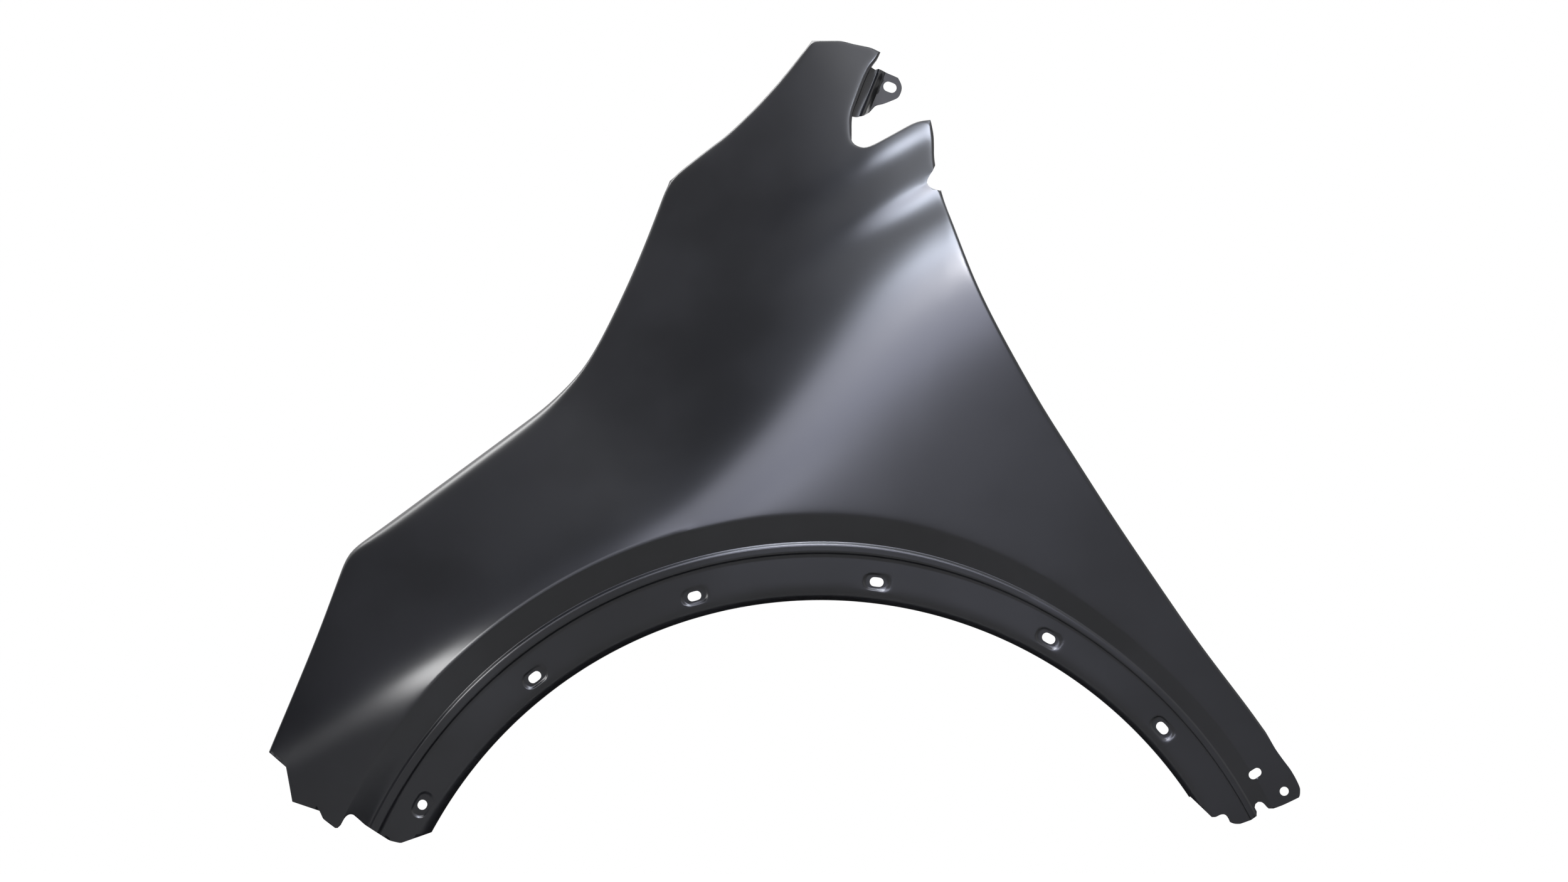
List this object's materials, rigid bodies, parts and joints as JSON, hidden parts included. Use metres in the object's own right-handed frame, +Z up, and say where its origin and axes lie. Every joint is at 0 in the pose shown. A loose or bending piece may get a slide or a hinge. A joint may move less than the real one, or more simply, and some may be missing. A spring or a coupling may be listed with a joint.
{
  "type": "car fender",
  "caption": "Front car fender pressed from one steel sheet, with wheel arch, clip holes, folded edges and stepped bolt ear.",
  "frame": {"origin": "on the inboard face of the bolt ear beside the windscreen pillar, on the plate below its slot", "axes": "+Y inboard, square to the ear's face; +Z up and +X towards the door, both turned 30 degrees about Y from the car's own axes, as the panel stands in the picture: the car's rearward axis is (0.866, 0, 0.5) and its upward axis is (-0.5, 0, 0.866)"},
  "size_m": [0.9318, 0.2559, 0.7274],
  "materials": {
    "black_primer": "satin black electrocoat primer"
  },
  "bodies": {
    "root": {"fender_panel": "black_primer"}
  },
  "joints": []
}
